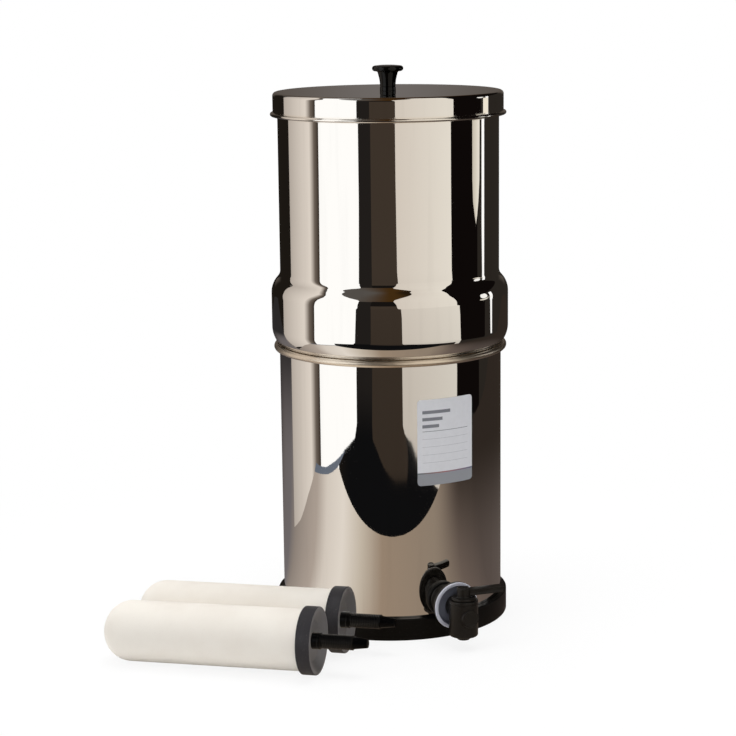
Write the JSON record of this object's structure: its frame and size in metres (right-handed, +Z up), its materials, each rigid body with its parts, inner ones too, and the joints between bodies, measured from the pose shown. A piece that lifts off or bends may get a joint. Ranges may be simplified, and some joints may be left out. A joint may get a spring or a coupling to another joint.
{
  "type": "gravity water filter",
  "caption": "Two-chamber polished steel gravity water filter with knobbed lid, lever tap, black base ring and ceramic candles, fitted and loose.",
  "frame": {"origin": "centre of the base ring's underside, on the chambers' axis", "axes": "+Z up along the chambers' axis, -Y towards the front, where the loose candles lie; +X to the right"},
  "size_m": [0.3501, 0.3212, 0.4922],
  "materials": {
    "steel": "mirror-polished stainless steel",
    "screw_steel": "bright zinc-plated steel",
    "black_plastic": "glossy black moulded plastic",
    "base_rubber": "black rubber, glossy from moulding",
    "seal_rubber": "matt black rubber",
    "cup_silicone": "white silicone rubber",
    "tap_plastic": "black moulded plastic",
    "cap_plastic": "dark grey moulded plastic",
    "ceramic": "unglazed off-white ceramic",
    "carbon": "pressed carbon block",
    "label_paper": null
  },
  "bodies": {
    "filter": {"base_ring": "base_rubber", "lower_chamber": "steel", "label": "label_paper", "tap_body": "tap_plastic", "tap_cup_washer": "cup_silicone", "tap_outer_washer": "seal_rubber", "tap_inner_washer": "seal_rubber", "tap_back_nut": "tap_plastic", "tap_retaining_ring": "tap_plastic"},
    "tap_valve": {"tap_plug": "tap_plastic", "tap_plug_orings": "seal_rubber", "tap_lever": "tap_plastic"},
    "upper": {"upper_chamber": "steel", "blanking_plugs": "black_plastic", "blanking_washers": "seal_rubber", "blanking_nuts": "black_plastic", "fitted_candle_1_shell": "ceramic", "fitted_candle_1_carbon": "carbon", "fitted_candle_1_cap": "cap_plastic", "fitted_candle_1_washer": "seal_rubber", "fitted_candle_2_shell": "ceramic", "fitted_candle_2_carbon": "carbon", "fitted_candle_2_cap": "cap_plastic", "fitted_candle_2_washer": "seal_rubber"},
    "lid": {"lid_shell": "steel", "lid_knob": "black_plastic", "lid_screw": "screw_steel", "lid_screw_washer": "screw_steel"},
    "wing_nut_1": {"wing_nut_1": "black_plastic"},
    "wing_nut_2": {"wing_nut_2": "black_plastic"},
    "front_candle": {"front_candle_shell": "ceramic", "front_candle_carbon": "carbon", "front_candle_cap": "cap_plastic"},
    "rear_candle": {"rear_candle_shell": "ceramic", "rear_candle_carbon": "carbon", "rear_candle_cap": "cap_plastic"}
  },
  "joints": [
    {"name": "tap_turn", "type": "hinge", "parent": "filter", "child": "tap_valve", "pos_m": [0.06071, -0.12448, 0.0345], "axis": [0, 0, -1], "range_deg": [0, 84]},
    {"name": "upper_lift", "type": "slide", "parent": "filter", "child": "upper", "axis": [0, 0, 1], "range_m": [0, 0.09]},
    {"name": "lid_lift", "type": "slide", "parent": "upper", "child": "lid", "axis": [0, 0, 1], "range_m": [0, 0.06]},
    {"name": "wing_nut_1_turn", "type": "hinge", "parent": "upper", "child": "wing_nut_1", "pos_m": [-0.03677, 0.03677, 0.2174], "axis": [0, 0, 1], "continuous": true},
    {"name": "wing_nut_2_turn", "type": "hinge", "parent": "upper", "child": "wing_nut_2", "pos_m": [0.03677, -0.03677, 0.2174], "axis": [0, 0, 1], "continuous": true},
    {"name": "front_candle_lift", "type": "slide", "parent": "filter", "child": "front_candle", "axis": [0, 0, 1], "range_m": [0, 0.06]},
    {"name": "rear_candle_lift", "type": "slide", "parent": "filter", "child": "rear_candle", "axis": [0, 0, 1], "range_m": [0, 0.06]}
  ]
}
